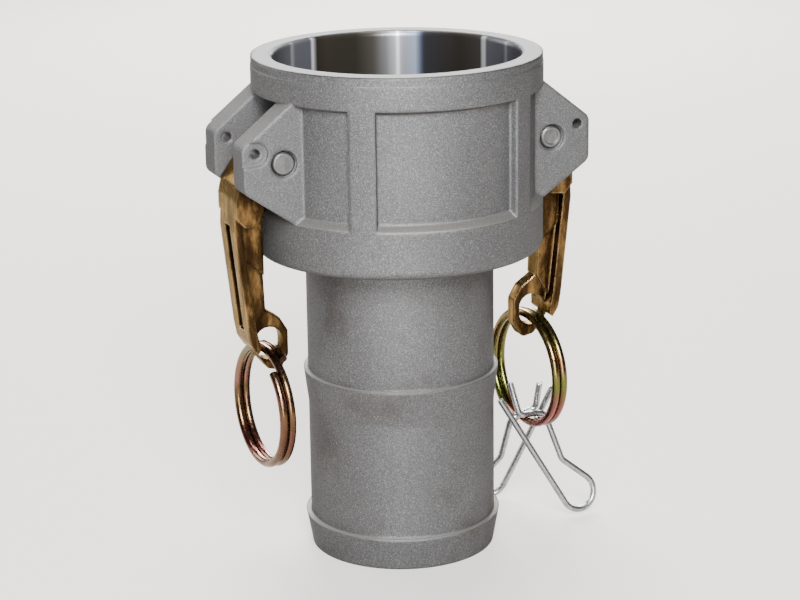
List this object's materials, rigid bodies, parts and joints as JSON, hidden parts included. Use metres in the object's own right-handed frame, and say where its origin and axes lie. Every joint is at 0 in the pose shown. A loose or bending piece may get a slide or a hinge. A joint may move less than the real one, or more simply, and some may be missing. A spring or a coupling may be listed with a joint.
{
  "type": "cam and groove coupling",
  "caption": "Female cam and groove hose coupling: cast socket with hinged cam arms, pull rings and wire safety clips above a ridged hose shank.",
  "frame": {"origin": "centre of the hose end face, on the axis of the waterway", "axes": "+Z along the waterway axis from the hose end to the socket mouth, +X through the right cam arm, -Y toward the viewer of the picture"},
  "size_m": [0.1029, 0.0754, 0.133],
  "materials": {
    "cast_aluminium": "matte",
    "black_rubber": "matte",
    "zinc_pin": "satin",
    "cast_brass": "satin",
    "passivated_ring_left": "gloss",
    "passivated_ring_right": "gloss",
    "bright_wire": "gloss"
  },
  "bodies": {
    "coupling": {"body": "cast_aluminium", "gasket": "black_rubber", "pin_left": "zinc_pin", "pin_right": "zinc_pin"},
    "arm_left": {"cam_arm_left": "cast_brass"},
    "arm_right": {"cam_arm_right": "cast_brass"},
    "ring_left": {"pull_ring_left": "passivated_ring_left"},
    "ring_right": {"pull_ring_right": "passivated_ring_right"},
    "clip_front": {"safety_clip_front": "bright_wire"},
    "clip_rear": {"safety_clip_rear": "bright_wire"}
  },
  "joints": [
    {"name": "arm_left_hinge", "type": "hinge", "parent": "coupling", "child": "arm_left", "pos_m": [-0.0367, 0, 0.1101], "axis": [0, 1, 0], "range_deg": [0, 128]},
    {"name": "arm_right_hinge", "type": "hinge", "parent": "coupling", "child": "arm_right", "pos_m": [0.0367, 0, 0.1101], "axis": [0, -1, 0], "range_deg": [0, 128]},
    {"name": "ring_left_swing", "type": "hinge", "parent": "arm_left", "child": "ring_left", "pos_m": [-0.0375, 0, 0.0585], "axis": [0, 1, 0], "range_deg": [-10, 100]},
    {"name": "ring_right_swing", "type": "hinge", "parent": "arm_right", "child": "ring_right", "pos_m": [0.0375, 0, 0.0585], "axis": [0, -1, 0], "range_deg": [0, 100]},
    {"name": "clip_front_swing", "type": "hinge", "parent": "ring_right", "child": "clip_front", "pos_m": [0.0375, 0, 0.0275], "axis": [-0.1045, 0.9945, 0], "range_deg": [-20, 5]},
    {"name": "clip_rear_swing", "type": "hinge", "parent": "ring_right", "child": "clip_rear", "pos_m": [0.0375, 0, 0.0275], "axis": [-0.1045, 0.9945, 0], "range_deg": [-8, 3]}
  ]
}
